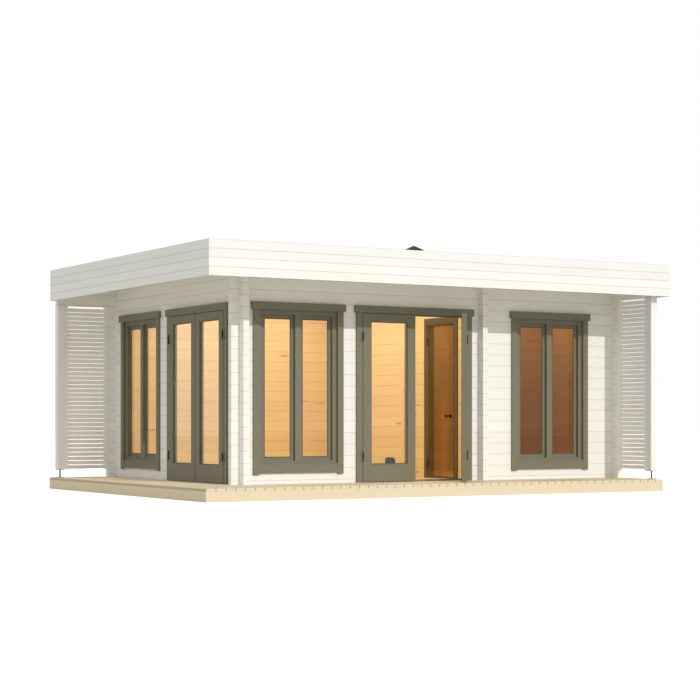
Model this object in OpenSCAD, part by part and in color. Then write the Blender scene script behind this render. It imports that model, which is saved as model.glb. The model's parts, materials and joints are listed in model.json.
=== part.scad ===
// Sauna summerhouse: a log cabin with a flat roof that reaches over a timber
// deck on two sides, glazed double doors, tall windows and a glass sauna door.
// X runs along the front, Y to the rear and Z up. Sizes below are measured from
// the cabin's front left corner and from the top of its floor.

/* [Ground frame and deck] */
// Height of the timber frame under the boards
frame_h = 112; // [90:1:160]
// Thickness of the deck boards and the floor boards
board_t = 28; // [20:1:40]
// Thickness of the rim boards and the joists
joist_t = 45; // [35:1:70]
// Largest distance between two joists
joist_pitch = 560; // [400:10:700]
// Width of the deck beside the left wall
deck_left = 830; // [780:10:1500]
// Depth of the deck before the front wall
deck_front = 880; // [860:10:1500]
// Depth of the deck strip behind the rear wall
deck_rear = 61; // [50:1:300]

/* [Log walls] */
// Width of the cabin over its logs
cabin_w = 5270; // [5000:10:7000]
// Depth of the cabin over its logs
cabin_d = 3536; // [3450:10:5000]
// Height of the log walls above the floor
wall_h = 2418; // [2350:1:3000]
// Thickness of a log
log_t = 70; // [45:1:95]
// Height of one log course
log_pitch = 132; // [100:1:160]
// First joint above the floor in walls along X
first_joint_x = 42; // [20:1:100]
// First joint above the floor in walls along Y
first_joint_y = 106; // [30:1:150]
// Length of the crossed log ends
log_end = 100; // [60:1:160]
// Height of the groove at a joint
groove_h = 7; // [4:1:14]
// Depth of the groove at a joint
groove_d = 3; // [2:1:10]
// Left face of the partition
partition_x = 3178; // [3170:1:3300]
// Front face of the cross wall behind the partition
cross_y = 1500; // [1400:1:1800]
// Left edge of the passage in the cross wall
passage_x = 3750; // [3500:1:4000]
// Width of the passage in the cross wall
passage_w = 735; // [600:1:900]

/* [Roof] */
// Overhang before the front wall
roof_front = 900; // [850:10:1500]
// Overhang beside the left wall
roof_left = 806; // [795:1:1500]
// Underside of the fascia above the floor
fascia_z = 2207; // [2100:1:2300]
// Number of fascia boards above each other
fascia_boards = 4; // [2:1:6]
// Height of one fascia board
fascia_board_h = 94; // [80:1:120]
// Thickness of the fascia
fascia_t = 20; // [16:1:30]
// Width of the groove between two fascia boards
fascia_groove = 5; // [3:1:10]
// Thickness of the ceiling and soffit boards
ceiling_t = 16; // [12:1:25]
// Height of the roof joists
roof_joist_h = 80; // [60:1:120]
// Thickness of the roof boards
roof_board_t = 20; // [16:1:30]
// Largest distance between two roof joists
roof_joist_pitch = 640; // [500:10:800]

/* [Posts, beams and screens] */
// Width of a post
post_w = 90; // [70:1:120]
// Left face of the rear post, from the left wall
rear_post_out = 775; // [700:1:790]
// Front face of the right post, from the front wall
right_post_out = 757; // [650:1:850]
// Height of the steel post feet
foot_h = 100; // [60:1:200]
// Width of the plates of a post foot
foot_plate_w = 78; // [60:1:90]
// Thickness of the plates of a post foot
foot_plate_t = 6; // [4:1:10]
// Diameter of the rod of a post foot
foot_rod_d = 20; // [12:1:30]
// Course of logs whose lower joint the beams start at
beam_course = 16; // [15:1:16]
// How far a beam reaches below that joint
beam_drop = 15; // [0:1:40]
// Width and depth of the stiles of a screen
stile_w = 45; // [35:1:60]
// Gap between the highest slat and the beam
screen_gap = 22; // [10:1:60]
// Distance between two slats
slat_pitch = 53; // [45:1:80]
// Width of a slat
slat_w = 45; // [30:1:46]
// Thickness of a slat
slat_t = 16; // [10:1:20]
// Lean of a slat from upright
slat_lean = 30; // [0:5:35]

/* [Windows and doors] */
// Width between the casings of a window
window_w = 1002; // [800:2:1100]
// Bottom of the clear opening of a window
window_z = 199; // [150:1:600]
// Top of the clear opening of windows and doors
head_z = 1940; // [1850:1:2050]
// Thickness of the liner around an opening
liner_t = 22; // [15:1:30]
// Width of a casing board
casing_w = 72; // [60:1:90]
// Thickness of a window's casing boards
window_casing_t = 25; // [18:1:30]
// Thickness of a door's casing boards
door_casing_t = 30; // [20:1:34]
// Height of the board over an opening
header_h = 82; // [60:1:120]
// Thickness of the board over an opening
header_t = 42; // [36:1:50]
// How far the board over an opening passes the casings
header_out = 24; // [0:1:40]
// Height of a window's bottom casing board
apron_h = 78; // [60:1:100]
// How far a window's side casings pass its bottom casing
casing_drop = 16; // [0:1:30]
// Visible width of a window's fixed frame
window_frame_w = 54; // [40:1:70]
// Width of a window's middle post
mullion_w = 68; // [50:1:90]
// Setback of the window frame from the wall's face
window_frame_in = 8; // [2:1:20]
// Width of a sash's stiles and rails
sash_w = 38; // [30:1:60]
// Setback of the sashes from the wall's face
sash_in = 44; // [30:1:50]
// Thickness of a sash
sash_t = 22; // [18:1:26]
// Height of a window's sill
sill_h = 27; // [15:1:40]
// How far a window's sill stands out from the wall
sill_out = 20; // [5:1:40]
// Thickness of the glass
glass_t = 6; // [4:1:12]
// Width between the casings of a double door
door_w = 1438; // [1300:2:1500]
// Gap between a door leaf and its frame
leaf_gap = 5; // [5:1:8]
// Gap between two door leaves
meeting_gap = 12; // [12:1:16]
// Thickness of a door leaf
leaf_t = 58; // [40:1:62]
// How far a door leaf stands out from the wall
leaf_out = 34; // [20:1:38]
// Gap under and over a door leaf
leaf_lift = 6; // [5:1:12]
// Width of a leaf's stiles
leaf_stile_w = 106; // [80:1:130]
// Height of a leaf's top rail
leaf_top_h = 92; // [70:1:130]
// Height of a leaf's bottom rail
leaf_bottom_h = 200; // [120:1:400]
// Width of the stop that a leaf closes against
stop_w = 15; // [10:1:25]
// Height of a threshold
threshold_h = 20; // [10:1:30]
// How far the right front leaf stands open
open_leaf_angle = 56; // [0:1:90]
// Middle of the front left window along X
front_window_x = 738; // [720:1:760]
// Middle of the front door along X
front_door_x = 2278; // [2270:1:2290]
// Middle of the front right window along X
right_window_x = 4230; // [4150:1:4260]
// Middle of the side door along Y
side_door_y = 1053; // [1040:1:1100]
// Middle of the side window along Y
side_window_y = 2668; // [2660:1:2680]

/* [Door hinges] */
// Height of a hinge
hinge_h = 103; // [80:1:130]
// Diameter of a hinge
hinge_d = 16; // [12:1:17]
// Diameter of a hinge pin
pin_d = 8; // [6:1:9]
// Clearance of a hinge around its pin
pin_gap = 0.4; // [0.3:0.1:0.5]
// Length of a hinge plate
hinge_plate_w = 36; // [25:1:50]
// Middle of the lower hinges above the floor
hinge_low_z = 298; // [200:1:500]
// Middle of the upper hinges above the floor
hinge_high_z = 1666; // [1500:1:1750]

/* [Sauna door and stove] */
// Middle of the sauna door along Y
sauna_door_y = 800; // [780:1:820]
// Width of the sauna door's frame
sauna_frame_w = 735; // [650:1:800]
// Height of the sauna door's frame
sauna_frame_h = 1973; // [1850:1:2050]
// Width of the sauna door's side posts
sauna_post_w = 75; // [50:1:90]
// Height of the sauna door's head
sauna_head_h = 85; // [50:1:100]
// How far the sauna door's frame stands out from the logs
sauna_frame_out = 12; // [5:1:20]
// Thickness of the sauna door's glass
sauna_glass_t = 8; // [6:1:10]
// Middle of the lower hinge of the sauna door
sauna_hinge_low_z = 176; // [120:1:300]
// Middle of the upper hinge of the sauna door
sauna_hinge_high_z = 1692; // [1500:1:1750]
// Height of the door knobs above the floor
knob_z = 764; // [700:1:1100]
// Distance of the knobs from the hinge side of the glass
knob_x = 461; // [440:1:480]
// Diameter of a knob
knob_d = 43; // [30:1:50]
// Middle of the stove's firing door along Y
fire_door_y = 1980; // [1900:1:2300]
// Bottom of the firing door above the floor
fire_door_z = 62; // [40:1:200]
// Width of the firing door
fire_door_w = 219; // [180:1:300]
// Height of the firing door
fire_door_h = 172; // [150:1:300]
// Depth of the firing door's frame
fire_door_t = 18; // [10:1:30]
// Corner radius at the firing door's top
fire_door_r = 52; // [20:1:60]

/* [Chimney] */
// Distance of the chimney from the left wall
chimney_x = 3500; // [3450:1:3700]
// Distance of the chimney from the front wall
chimney_y = 1928; // [1700:1:2300]
// Diameter of the chimney pipe
pipe_d = 130; // [100:1:160]
// Wall of the chimney pipe
pipe_wall = 3; // [2:1:5]
// Top of the chimney pipe above the floor
pipe_top_z = 2868; // [2760:1:3000]
// Rim of the rain cap above the floor
cap_z = 2913; // [2900:1:3200]
// Diameter of the rain cap
cap_d = 258; // [200:1:300]
// Height of the rain cap
cap_h = 58; // [40:1:90]
// Thickness of the rain cap
cap_t = 4; // [3:1:6]

/* [Hidden] */
$fn = 48;

white_paint = [0.95, 0.94, 0.91];
olive_paint = [0.50, 0.49, 0.41];
deck_wood = [0.88, 0.76, 0.56];
inner_wood = [0.90, 0.74, 0.48];
frame_wood = [0.42, 0.36, 0.24];
clear_glass = [0.75, 0.82, 0.80, 0.4];
bronze_glass = [0.45, 0.28, 0.14, 0.7];
black_iron = [0.10, 0.10, 0.09];
steel = [0.55, 0.56, 0.57];

floor_z = frame_h + board_t;
inner_right = cabin_w - log_t;
inner_rear = cabin_d - log_t;
roof_right = cabin_w + log_end;
roof_rear = cabin_d + log_end;
fascia_top = fascia_z + fascia_boards * fascia_board_h;
beam_x_z = first_joint_x + beam_course * log_pitch - beam_drop;
beam_y_z = first_joint_y + beam_course * log_pitch - beam_drop;
origin_x = (roof_right - max(deck_left, roof_left)) / 2;
origin_y = (roof_rear - max(deck_front, roof_front)) / 2;
leaf_w = (door_w - 2 * leaf_gap - meeting_gap) / 2;
hinge_off = hinge_d / 2 + 1;
light_w = (window_w - 2 * window_frame_w - mullion_w) / 2;
sauna_clear_w = sauna_frame_w - 2 * sauna_post_w;
slat_housing = 6;
sauna_hinge_d = 12;
sauna_hinge_off = sauna_hinge_d / 2 + 1;
cut = 1;

// Puts a piece measured from the floor's front left corner into the part's frame.
module on_floor() {
    translate([-origin_x, -origin_y, floor_z]) children();
}

// Puts a piece measured from the ground into the part's frame.
module on_ground() {
    translate([-origin_x, -origin_y, 0]) children();
}

// A box given by its lowest and highest corners.
module box(low, high) {
    translate(low) cube(high - low);
}

// ---- Log walls -------------------------------------------------------------

function joint_heights(base, top, first, pitch) = [
    for (k = [0 : floor((top - first) / pitch)])
        let (z = first + k * pitch)
        if (z > base + groove_h && z < top - groove_h) z
];

// One face of a grooved section, from bottom to top.
function grooved_face(y, inward, base, top, joints, height, depth) = concat(
    [[y, base]],
    [for (z = joints, p = [[0, -1], [1, 0], [0, 1]])
        [y + p[0] * inward * depth, z + p[1] * height / 2]],
    [[y, top]]
);

function reversed(points) = [for (i = [len(points) - 1 : -1 : 0]) points[i]];

// Section of a log wall, grooved at every joint on both faces.
function log_section(base, top, first) =
    let (joints = joint_heights(base, top, first, log_pitch))
    concat(
        grooved_face(log_t, -1, base, top, joints, groove_h, groove_d),
        reversed(grooved_face(0, 1, base, top, joints, groove_h, groove_d))
    );

module along_x(length) {
    rotate([90, 0, 90]) linear_extrude(length) children();
}

module along_y(length) {
    translate([0, length, 0]) rotate([90, 0, 0]) linear_extrude(length) children();
}

// A run of logs along X from x0 to x1, with its front face at y.
module x_logs(x0, x1, y, base = 0, top = wall_h) {
    translate([x0, y, 0]) along_x(x1 - x0) polygon(log_section(base, top, first_joint_x));
}

// A run of logs along Y from y0 to y1, with its left face at x.
module y_logs(x, y0, y1, base = 0, top = wall_h) {
    translate([x, y0, 0]) along_y(y1 - y0) polygon(log_section(base, top, first_joint_y));
}

// The space that the fascia takes behind the right and rear log ends.
module fascia_space() {
    box([roof_right - fascia_t, -roof_front, fascia_z], [roof_right + cut, roof_rear + cut, fascia_top]);
    box([-roof_left, roof_rear - fascia_t, fascia_z], [roof_right + cut, roof_rear + cut, fascia_top]);
}

// Places a piece made at the origin of a wall along X, with its outer face at y.
module at_front(x) {
    translate([x, 0, 0]) children();
}

// Places a piece on a wall along Y whose outer face looks to the left at x.
module at_side(x, y) {
    translate([x, y, 0]) rotate([0, 0, -90]) children();
}

module window_hole() {
    half = window_w / 2 + liner_t;
    box([-half, -cut, window_z - liner_t], [half, log_t + cut, head_z + liner_t]);
}

module front_wall_left() {
    color(white_paint) on_floor() difference() {
        x_logs(-log_end, front_door_x - door_w / 2 - liner_t, 0);
        at_front(front_window_x) window_hole();
    }
}

module front_wall_right() {
    color(white_paint) on_floor() difference() {
        x_logs(front_door_x + door_w / 2 + liner_t, cabin_w + log_end, 0);
        at_front(right_window_x) window_hole();
        fascia_space();
    }
}

module side_wall_front() {
    color(white_paint) on_floor() {
        y_logs(0, -log_end, 0);
        y_logs(0, log_t, side_door_y - door_w / 2 - liner_t);
    }
}

module side_wall_rear() {
    color(white_paint) on_floor() difference() {
        union() {
            y_logs(0, side_door_y + door_w / 2 + liner_t, inner_rear);
            y_logs(0, cabin_d, cabin_d + log_end);
        }
        at_side(0, side_window_y) window_hole();
        fascia_space();
    }
}

module rear_wall() {
    color(white_paint) on_floor() difference() {
        x_logs(-log_end, cabin_w + log_end, inner_rear);
        fascia_space();
    }
}

module right_wall() {
    color(white_paint) on_floor() difference() {
        union() {
            y_logs(inner_right, -log_end, 0);
            y_logs(inner_right, log_t, inner_rear);
            y_logs(inner_right, cabin_d, cabin_d + log_end);
        }
        fascia_space();
    }
}

module partition() {
    color(inner_wood) on_floor() difference() {
        union() {
            y_logs(partition_x, -log_end, 0);
            y_logs(partition_x, log_t, sauna_door_y - sauna_frame_w / 2);
            y_logs(partition_x, sauna_door_y + sauna_frame_w / 2, inner_rear);
            y_logs(partition_x, cabin_d, cabin_d + log_end);
        }
        fascia_space();
    }
}

module cross_wall() {
    color(inner_wood) on_floor() difference() {
        union() {
            x_logs(partition_x - log_end, partition_x, cross_y);
            x_logs(partition_x + log_t, passage_x, cross_y);
            x_logs(passage_x + passage_w, inner_right, cross_y);
            x_logs(cabin_w, cabin_w + log_end, cross_y);
        }
        fascia_space();
    }
}

module over_door_logs() {
    half = door_w / 2 + liner_t;
    sauna_half = sauna_frame_w / 2;
    over = head_z + liner_t;
    color(white_paint) on_floor() {
        x_logs(front_door_x - half, front_door_x + half, 0, base = over);
        y_logs(0, side_door_y - half, side_door_y + half, base = over);
        y_logs(partition_x, sauna_door_y - sauna_half, sauna_door_y + sauna_half, base = sauna_frame_h);
        x_logs(passage_x, passage_x + passage_w, cross_y, base = sauna_frame_h);
    }
}

// ---- Ground frame, deck and floor --------------------------------------------

// Joists along X, evenly spaced between y0 and y1, from x0 to x1.
module joist_row(x0, x1, y0, y1) {
    bays = ceil((y1 - y0) / joist_pitch);
    for (i = [1 : 1 : bays - 1]) {
        y = y0 + i * (y1 - y0) / bays;
        box([x0, y - joist_t / 2, 0], [x1, y + joist_t / 2, frame_h]);
    }
}

// Sills, joists and rim boards that run along X. None of them touch each other.
module frame_along_x() {
    front = -deck_front;
    rear = cabin_d + deck_rear;
    left = -deck_left + joist_t;
    color(deck_wood) on_ground() {
        for (y = [0, inner_rear]) box([0, y, 0], [cabin_w, y + log_t, floor_z]);
        box([partition_x + log_t, cross_y, 0], [inner_right, cross_y + log_t, floor_z]);
        for (y = [front, rear - joist_t]) box([-deck_left, y, 0], [cabin_w, y + joist_t, frame_h]);
        joist_row(left, cabin_w - joist_t, front + joist_t, 0);
        joist_row(left, 0, 0, cabin_d);
        joist_row(log_t, partition_x, log_t, inner_rear);
        joist_row(partition_x + log_t, inner_right, log_t, cross_y);
        joist_row(partition_x + log_t, inner_right, cross_y + log_t, inner_rear);
    }
}

// Sills and rim boards that run along Y between those along X.
module frame_along_y() {
    front = -deck_front + joist_t;
    rear = cabin_d + deck_rear - joist_t;
    color(deck_wood) on_ground() {
        for (x = [0, partition_x, inner_right]) box([x, log_t, 0], [x + log_t, inner_rear, floor_z]);
        box([-deck_left, front, 0], [-deck_left + joist_t, rear, frame_h]);
        box([cabin_w - joist_t, front, 0], [cabin_w, 0, frame_h]);
        box([cabin_w - joist_t, cabin_d, 0], [cabin_w, rear, frame_h]);
    }
}

module deck_boards() {
    color(deck_wood) on_ground() translate([0, 0, frame_h]) {
        box([-deck_left, -deck_front, 0], [cabin_w, 0, board_t]);
        box([-deck_left, -deck_front, 0], [0, cabin_d + deck_rear, board_t]);
        box([-deck_left, cabin_d, 0], [cabin_w, cabin_d + deck_rear, board_t]);
    }
}

module floor() {
    color(inner_wood) on_ground() translate([0, 0, frame_h]) {
        box([log_t, log_t, 0], [partition_x, inner_rear, board_t]);
        box([partition_x + log_t, log_t, 0], [inner_right, cross_y, board_t]);
        box([partition_x + log_t, cross_y + log_t, 0], [inner_right, inner_rear, board_t]);
    }
}

// ---- Posts, beams and screens ------------------------------------------------

rear_post = [-rear_post_out, inner_rear + (log_t - post_w) / 2];
right_post = [inner_right + (log_t - post_w) / 2, -right_post_out];

module roof_beams() {
    color(white_paint) on_floor() {
        x_logs(-rear_post_out, -log_end, inner_rear, base = beam_x_z);
        y_logs(inner_right, -right_post_out, -log_end, base = beam_y_z);
    }
}

module posts() {
    color(white_paint) on_floor() {
        translate([rear_post[0], rear_post[1], foot_h]) cube([post_w, post_w, beam_x_z - foot_h]);
        translate([right_post[0], right_post[1], foot_h]) cube([post_w, post_w, beam_y_z - foot_h]);
    }
}

module post_foot() {
    for (z = [0, foot_h - foot_plate_t])
        translate([-foot_plate_w / 2, -foot_plate_w / 2, z]) cube([foot_plate_w, foot_plate_w, foot_plate_t]);
    cylinder(d = foot_rod_d, h = foot_h);
}

module post_feet() {
    color(steel) on_floor() for (p = [rear_post, right_post])
        translate([p[0] + post_w / 2, p[1] + post_w / 2, 0]) post_foot();
}

// A louvre panel along X with its inner face at Y 0 and slats that shed outwards.
module screen(length, beam_z) {
    for (x = [0, length - stile_w]) box([x, 0, foot_h], [x + stile_w, stile_w, beam_z]);
    top = beam_z - screen_gap;
    slats = floor((top - foot_h) / slat_pitch);
    for (i = [0 : slats - 1])
        translate([stile_w - slat_housing, stile_w / 2, top - (i + 0.5) * slat_pitch])
            rotate([slat_lean, 0, 0])
                translate([0, -slat_t / 2, -slat_w / 2])
                    cube([length - 2 * (stile_w - slat_housing), slat_t, slat_w]);
}

module rear_screen() {
    length = rear_post_out - post_w - log_end;
    color(white_paint) on_floor() translate([-log_end - length, inner_rear, 0]) screen(length, beam_x_z);
}

module right_screen() {
    length = right_post_out - post_w - log_end;
    color(white_paint) on_floor() at_side(inner_right, -log_end) screen(length, beam_y_z);
}

// ---- Roof ----------------------------------------------------------------------

// A level slab that fills the space inside the four fascias.
module roof_slab(z, thickness) {
    box([-roof_left + fascia_t, -roof_front + fascia_t, z],
        [roof_right - fascia_t, roof_rear - fascia_t, z + thickness]);
}

module ceiling() {
    color(white_paint) on_floor() roof_slab(wall_h, ceiling_t);
}

module roof_joists() {
    low = -roof_left + fascia_t;
    high = roof_right - fascia_t;
    bays = ceil((high - low - joist_t) / roof_joist_pitch);
    color(inner_wood) on_floor() for (i = [0 : bays]) {
        x = low + i * (high - low - joist_t) / bays;
        box([x, -roof_front + fascia_t, wall_h + ceiling_t],
            [x + joist_t, roof_rear - fascia_t, wall_h + ceiling_t + roof_joist_h]);
    }
}

module roof_boards() {
    color(black_iron) on_floor() roof_slab(wall_h + ceiling_t + roof_joist_h, roof_board_t);
}

// Section of a fascia whose outer face, at y 0, is grooved between its boards.
module fascia_section() {
    joints = [for (i = [1 : fascia_boards - 1]) fascia_z + i * fascia_board_h];
    polygon(concat(
        reversed(grooved_face(0, 1, fascia_z, fascia_top, joints, fascia_groove, fascia_groove)),
        [[fascia_t, fascia_z], [fascia_t, fascia_top]]
    ));
}

module fascia_front() {
    color(white_paint) on_floor() translate([-roof_left, -roof_front, 0])
        along_x(roof_left + roof_right) fascia_section();
}

module fascia_rear() {
    color(white_paint) on_floor() translate([-roof_left, roof_rear, 0])
        mirror([0, 1, 0]) along_x(roof_left + roof_right) fascia_section();
}

module fascia_left() {
    color(white_paint) on_floor() translate([-roof_left, -roof_front + fascia_t, 0])
        along_y(roof_front + roof_rear - 2 * fascia_t) fascia_section();
}

module fascia_right() {
    color(white_paint) on_floor() translate([roof_right, -roof_front + fascia_t, 0])
        mirror([1, 0, 0]) along_y(roof_front + roof_rear - 2 * fascia_t) fascia_section();
}

// ---- Windows ---------------------------------------------------------------------

// A rectangular ring in the XZ plane: outer corners, width of the ring, depth range.
module ring(x0, x1, z0, z1, side, bottom, top, y0, y1) {
    box([x0, y0, z0], [x0 + side, y1, z1]);
    box([x1 - side, y0, z0], [x1, y1, z1]);
    box([x0, y0, z1 - top], [x1, y1, z1]);
    if (bottom > 0) box([x0, y0, z0], [x1, y1, z0 + bottom]);
}

// The board over an opening of half width `half`.
module header(half) {
    reach = half + casing_w + header_out;
    box([-reach, -header_t, head_z], [reach, 0, head_z + header_h]);
}

// Left edges of the two lights, measured from the middle of a window.
function light_lefts() = [-window_w / 2 + window_frame_w, mullion_w / 2];

light_z0 = window_z + window_frame_w + 4;
light_z1 = head_z - window_frame_w;

// A two-light window: casings, liner, fixed frame, middle post, sill and sashes.
module window() {
    half = window_w / 2;
    apron_z = window_z - apron_h;
    header(half);
    for (x = [-half - casing_w, half])
        box([x, -window_casing_t, apron_z - casing_drop], [x + casing_w, 0, head_z]);
    box([-half, -window_casing_t, apron_z], [half, 0, window_z]);
    ring(-half - liner_t, half + liner_t, window_z - liner_t, head_z + liner_t,
        liner_t, liner_t, liner_t, 0, log_t);
    ring(-half, half, window_z, head_z, window_frame_w, light_z0 - window_z, window_frame_w,
        window_frame_in, log_t);
    box([-mullion_w / 2, window_frame_in, window_z], [mullion_w / 2, log_t, head_z]);
    box([-half, -sill_out, window_z], [half, window_frame_in, window_z + sill_h]);
    for (x = light_lefts())
        ring(x, x + light_w, light_z0, light_z1, sash_w, sash_w, sash_w, sash_in, sash_in + sash_t);
}

module window_panes() {
    y = sash_in + (sash_t - glass_t) / 2;
    for (x = light_lefts())
        box([x + sash_w, y, light_z0 + sash_w], [x + light_w - sash_w, y + glass_t, light_z1 - sash_w]);
}

module front_window() {
    color(olive_paint) on_floor() at_front(front_window_x) window();
}

module right_window() {
    color(olive_paint) on_floor() at_front(right_window_x) window();
}

module side_window() {
    color(olive_paint) on_floor() at_side(0, side_window_y) window();
}

module window_glass() {
    color(clear_glass) on_floor() {
        at_front(front_window_x) window_panes();
        at_front(right_window_x) window_panes();
        at_side(0, side_window_y) window_panes();
    }
}

// ---- Hinges ------------------------------------------------------------------------

// The fixed half of a hinge on the Z axis: two knuckles, the pin between them and
// plates that reach to -X and lie on a face at y.
module hinge_fixed(diameter, height, y, gap) {
    knuckle = height / 3;
    for (z = [-height / 2, height / 2 - knuckle]) translate([0, 0, z]) {
        cylinder(d = diameter, h = knuckle);
        box([-hinge_plate_w, diameter / 4, 0], [-gap / 2, y, knuckle]);
    }
    cylinder(d = pin_d * diameter / hinge_d, h = height, center = true);
}

// The moving half: one bored knuckle and a plate that reaches to +X on a face at y.
module hinge_moving(diameter, height, y) {
    knuckle = height / 3 - 2;
    pin = pin_d * diameter / hinge_d;
    difference() {
        union() {
            cylinder(d = diameter, h = knuckle, center = true);
            box([0, diameter / 4, -knuckle / 2], [hinge_plate_w, y, knuckle / 2]);
        }
        cylinder(d = pin + 2 * pin_gap, h = knuckle + 2 * cut, center = true);
    }
}

// ---- Double doors --------------------------------------------------------------------

leaf_hinge_x = door_w / 2 - leaf_gap / 2;
leaf_hinge_y = -leaf_out - hinge_off;

module door_frame() {
    half = door_w / 2;
    stop_y = leaf_t - leaf_out + leaf_gap + 1;
    header(half);
    for (x = [-half - casing_w, half]) box([x, -door_casing_t, 0], [x + casing_w, 0, head_z]);
    ring(-half - liner_t, half + liner_t, 0, head_z + liner_t, liner_t, 0, liner_t, 0, log_t);
    ring(-half, half, 0, head_z, stop_w, threshold_h, stop_w, stop_y, log_t);
    for (side = [0, 1], z = [hinge_low_z, hinge_high_z])
        mirror([side, 0, 0]) translate([-leaf_hinge_x, leaf_hinge_y, z])
            hinge_fixed(hinge_d, hinge_h, hinge_off + leaf_out - door_casing_t, leaf_gap);
}

leaf_z0 = leaf_lift;
leaf_z1 = head_z - leaf_lift;

// A door leaf that reaches to +X from a hinge on the Z axis.
module leaf() {
    x0 = leaf_gap / 2;
    ring(x0, x0 + leaf_w, leaf_z0, leaf_z1, leaf_stile_w, leaf_bottom_h, leaf_top_h,
        hinge_off, hinge_off + leaf_t);
    for (z = [hinge_low_z, hinge_high_z])
        translate([0, 0, z]) hinge_moving(hinge_d, hinge_h, hinge_off);
}

module leaf_glass() {
    x0 = leaf_gap / 2 + leaf_stile_w;
    x1 = leaf_gap / 2 + leaf_w - leaf_stile_w;
    y = hinge_off + leaf_t / 3 - glass_t / 2;
    box([x0, y, leaf_z0 + leaf_bottom_h], [x1, y + glass_t, leaf_z1 - leaf_top_h]);
}

// Hangs a leaf on the left side of a door frame, or on its right side when turned over.
module hang_left() {
    translate([-leaf_hinge_x, leaf_hinge_y, 0]) children();
}

module hang_right(angle) {
    translate([leaf_hinge_x, leaf_hinge_y, 0]) rotate([0, 0, angle]) mirror([1, 0, 0]) children();
}

module front_door_frame() {
    color(olive_paint) on_floor() at_front(front_door_x) door_frame();
}

module side_door_frame() {
    color(olive_paint) on_floor() at_side(0, side_door_y) door_frame();
}

module front_leaf_left() {
    color(olive_paint) on_floor() at_front(front_door_x) hang_left() leaf();
}

module front_leaf_left_glass() {
    color(clear_glass) on_floor() at_front(front_door_x) hang_left() leaf_glass();
}

module front_leaf_right() {
    color(olive_paint) on_floor() at_front(front_door_x) hang_right(open_leaf_angle) leaf();
}

module front_leaf_right_glass() {
    color(clear_glass) on_floor() at_front(front_door_x) hang_right(open_leaf_angle) leaf_glass();
}

module side_leaf_far() {
    color(olive_paint) on_floor() at_side(0, side_door_y) hang_left() leaf();
}

module side_leaf_far_glass() {
    color(clear_glass) on_floor() at_side(0, side_door_y) hang_left() leaf_glass();
}

module side_leaf_near() {
    color(olive_paint) on_floor() at_side(0, side_door_y) hang_right(0) leaf();
}

module side_leaf_near_glass() {
    color(clear_glass) on_floor() at_side(0, side_door_y) hang_right(0) leaf_glass();
}

// ---- Sauna door -------------------------------------------------------------------------

sauna_hinge_x = sauna_clear_w / 2 - leaf_gap / 2;
sauna_hinge_y = -sauna_frame_out - sauna_hinge_off;
sauna_leaf_w = sauna_clear_w - 2 * leaf_gap;
sauna_hinge_h = hinge_h - 10;

module sauna_door_frame() {
    half = sauna_frame_w / 2;
    back = log_t + sauna_frame_out;
    stop_y = -sauna_frame_out + sauna_glass_t + leaf_gap + 1;
    color(frame_wood) on_floor() at_side(partition_x, sauna_door_y) {
        ring(-half, half, 0, sauna_frame_h, sauna_post_w, threshold_h, sauna_head_h, -sauna_frame_out, back);
        ring(-half, half, 0, sauna_frame_h, sauna_post_w + stop_w, threshold_h, sauna_head_h + stop_w,
            stop_y, back);
        for (z = [sauna_hinge_low_z, sauna_hinge_high_z])
            translate([-sauna_hinge_x, sauna_hinge_y, z])
                hinge_fixed(sauna_hinge_d, sauna_hinge_h, sauna_hinge_off, leaf_gap);
    }
}

// Hangs a piece made with its hinge on the Z axis on the sauna door's far post.
module hang_sauna() {
    at_side(partition_x, sauna_door_y) translate([-sauna_hinge_x, sauna_hinge_y, 0]) children();
}

module sauna_door_glass() {
    x0 = leaf_gap / 2;
    color(bronze_glass) on_floor() hang_sauna()
        box([x0, sauna_hinge_off, threshold_h + leaf_lift],
            [x0 + sauna_leaf_w, sauna_hinge_off + sauna_glass_t, sauna_frame_h - sauna_head_h - leaf_lift]);
}

module sauna_door_fittings() {
    back = sauna_hinge_off + sauna_glass_t;
    stem = knob_d / 3;
    clamp_h = sauna_hinge_h / 3 - 2;
    color(frame_wood) on_floor() hang_sauna() {
        for (z = [sauna_hinge_low_z, sauna_hinge_high_z]) translate([0, 0, z]) {
            hinge_moving(sauna_hinge_d, sauna_hinge_h, sauna_hinge_off);
            box([leaf_gap, back, -clamp_h / 2], [hinge_plate_w, back + 4, clamp_h / 2]);
        }
        for (side = [0, 1])
            translate([knob_x, side * sauna_glass_t + sauna_hinge_off, knob_z])
                rotate([side == 0 ? 90 : -90, 0, 0]) {
                    cylinder(d = stem, h = stem + 4);
                    translate([0, 0, stem + knob_d / 3]) sphere(d = knob_d);
                }
    }
}

// ---- Stove door and chimney ---------------------------------------------------------------

// A plate with two rounded upper corners.
module arched_plate(w, h, r) {
    translate([-w / 2, 0]) square([w, h - r]);
    translate([-w / 2 + r, 0]) square([w - 2 * r, h]);
    for (x = [-w / 2 + r, w / 2 - r]) translate([x, h - r]) circle(r);
}

module firing_door() {
    border = 16;
    color(black_iron) on_floor() at_side(partition_x, fire_door_y) translate([0, 0, fire_door_z]) {
        rotate([90, 0, 0]) linear_extrude(fire_door_t) arched_plate(fire_door_w, fire_door_h, fire_door_r);
        translate([0, 0, border]) rotate([90, 0, 0]) linear_extrude(fire_door_t + 8)
            arched_plate(fire_door_w - 2 * border, fire_door_h - 2 * border, fire_door_r - border);
    }
}

roof_top = wall_h + ceiling_t + roof_joist_h + roof_board_t;

module chimney_pipe() {
    bore = pipe_d - 2 * pipe_wall;
    flange_h = pipe_d / 2;
    color(black_iron) on_floor() translate([chimney_x, chimney_y, roof_top]) difference() {
        union() {
            cylinder(d = pipe_d, h = pipe_top_z - roof_top);
            cylinder(d1 = 2.2 * pipe_d, d2 = pipe_d, h = flange_h);
        }
        translate([0, 0, pipe_wall]) cylinder(d = bore, h = pipe_top_z - roof_top);
    }
}

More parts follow.
